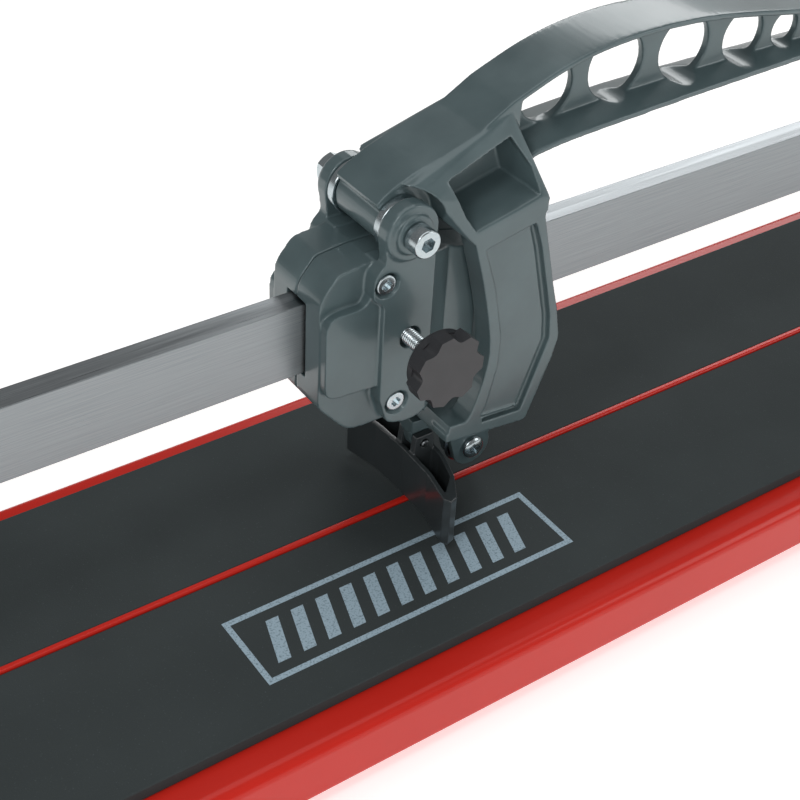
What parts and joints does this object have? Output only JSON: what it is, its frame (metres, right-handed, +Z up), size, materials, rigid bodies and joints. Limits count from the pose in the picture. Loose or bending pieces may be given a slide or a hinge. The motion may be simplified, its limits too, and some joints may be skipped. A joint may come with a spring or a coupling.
{
  "type": "tile cutter",
  "caption": "Manual tile cutter: flat rail over a padded red base, rolling cast carriage, hinged lever handle with scoring wheel and breaker foot, and a fence with side stop.",
  "frame": {"origin": "centre of the base on the surface it stands on", "axes": "+X along the rail towards the handle's grip end, +Y to the rear, +Z up"},
  "size_m": [0.85, 0.2154, 0.2808],
  "materials": {
    "powder_coat_red": "glossy red powder coat",
    "pad_foam": "matt closed-cell foam rubber with a fine speckle",
    "cast_slate": "pressure die cast, satin slate grey paint",
    "bright_steel": "ground and brushed along its length",
    "zinc_plate": "bright zinc plate",
    "black_nylon": "moulded black nylon",
    "rubber_black": "moulded rubber",
    "extruded_aluminium": "satin anodised",
    "carbide": "ground tungsten carbide",
    "sintered_bronze": "oiled sintered bronze"
  },
  "bodies": {
    "base": {"base_pan": "powder_coat_red", "front_pad": "pad_foam", "rear_pad": "pad_foam", "left_end_cap": "black_nylon", "right_end_cap": "black_nylon", "left_post": "cast_slate", "right_post": "cast_slate", "rail": "bright_steel", "left_rail_bolt_1": "zinc_plate", "left_rail_bolt_2": "zinc_plate", "right_rail_bolt_1": "zinc_plate", "right_rail_bolt_2": "zinc_plate", "left_post_screw_front": "zinc_plate", "left_post_screw_rear": "zinc_plate", "right_post_screw_front": "zinc_plate", "right_post_screw_rear": "zinc_plate", "left_front_foot": "rubber_black", "left_rear_foot": "rubber_black", "right_front_foot": "rubber_black", "right_rear_foot": "rubber_black", "fence_bar": "extruded_aluminium", "front_fence_screw": "zinc_plate", "rear_fence_screw": "zinc_plate"},
    "side_stop": {"side_stop": "extruded_aluminium"},
    "stop_knob": {"stop_knob": "black_nylon"},
    "carriage": {"carriage_front_shell": "cast_slate", "carriage_rear_shell": "cast_slate", "upper_clamp_screw": "zinc_plate", "upper_clamp_nut": "zinc_plate", "lower_clamp_screw": "zinc_plate", "lower_clamp_nut": "zinc_plate", "upper_left_roller_pin": "bright_steel", "upper_right_roller_pin": "bright_steel", "lower_left_roller_pin": "bright_steel", "lower_right_roller_pin": "bright_steel", "pivot_bolt": "zinc_plate", "pivot_nut": "zinc_plate", "front_thrust_washer": "zinc_plate", "rear_thrust_washer": "zinc_plate"},
    "upper_left_roller": {"upper_left_roller": "bright_steel"},
    "upper_right_roller": {"upper_right_roller": "bright_steel"},
    "lower_left_roller": {"lower_left_roller": "bright_steel"},
    "lower_right_roller": {"lower_right_roller": "bright_steel"},
    "lock_stud": {"lock_stud": "zinc_plate"},
    "lock_knob": {"lock_knob": "black_nylon"},
    "handle": {"handle_casting": "cast_slate", "handle_grip": "rubber_black", "pivot_bush": "sintered_bronze", "wheel_holder": "cast_slate", "left_holder_screw": "zinc_plate", "right_holder_screw": "zinc_plate", "wheel_axle": "zinc_plate", "axle_nut": "zinc_plate", "foot_pin": "bright_steel"},
    "cutting_wheel": {"cutting_wheel": "carbide"},
    "breaker_foot": {"breaker_foot": "cast_slate"}
  },
  "joints": [
    {"name": "carriage_slide", "type": "slide", "parent": "base", "child": "carriage", "axis": [1, 0, 0], "range_m": [-0.205, 0.4]},
    {"name": "handle_pivot", "type": "hinge", "parent": "carriage", "child": "handle", "pos_m": [-0.145, 0, 0.2242], "axis": [0, -1, 0], "range_deg": [-6, 25]},
    {"name": "wheel_spin", "type": "hinge", "parent": "handle", "child": "cutting_wheel", "pos_m": [-0.085, 0, 0.069], "axis": [0, 1, 0], "continuous": true},
    {"name": "foot_tilt", "type": "hinge", "parent": "handle", "child": "breaker_foot", "pos_m": [-0.116, 0, 0.085], "axis": [0, -1, 0], "range_deg": [-8, 8]},
    {"name": "upper_left_roller_spin", "type": "hinge", "parent": "carriage", "child": "upper_left_roller", "pos_m": [-0.169, 0, 0.1982], "axis": [0, 1, 0], "continuous": true},
    {"name": "upper_right_roller_spin", "type": "hinge", "parent": "carriage", "child": "upper_right_roller", "pos_m": [-0.131, 0, 0.1982], "axis": [0, 1, 0], "continuous": true},
    {"name": "lower_left_roller_spin", "type": "hinge", "parent": "carriage", "child": "lower_left_roller", "pos_m": [-0.169, 0, 0.1458], "axis": [0, 1, 0], "continuous": true},
    {"name": "lower_right_roller_spin", "type": "hinge", "parent": "carriage", "child": "lower_right_roller", "pos_m": [-0.131, 0, 0.1458], "axis": [0, 1, 0], "continuous": true},
    {"name": "lock_screw_travel", "type": "slide", "parent": "carriage", "child": "lock_stud", "axis": [0, 1, 0], "range_m": [-0.0025, 0.00125]},
    {"name": "lock_knob_turn", "type": "hinge", "parent": "lock_stud", "child": "lock_knob", "pos_m": [-0.1426, -0.052, 0.17], "axis": [0, 1, 0], "range_deg": [-722, 362]},
    {"name": "stop_slide", "type": "slide", "parent": "base", "child": "side_stop", "axis": [0, 1, 0], "range_m": [-0.17, 0.012]},
    {"name": "stop_knob_turn", "type": "hinge", "parent": "side_stop", "child": "stop_knob", "pos_m": [-0.38475, 0.08, 0.07], "axis": [0, 0, 1], "range_deg": [-360, 90]}
  ],
  "couplings": [
    {"joint": "upper_left_roller_spin", "follows": "carriage_slide", "rad_per_m": 125},
    {"joint": "upper_right_roller_spin", "follows": "carriage_slide", "rad_per_m": 125},
    {"joint": "lower_left_roller_spin", "follows": "carriage_slide", "rad_per_m": -125},
    {"joint": "lower_right_roller_spin", "follows": "carriage_slide", "rad_per_m": -125},
    {"joint": "lock_knob_turn", "follows": "lock_screw_travel", "rad_per_m": 5026.6}
  ]
}
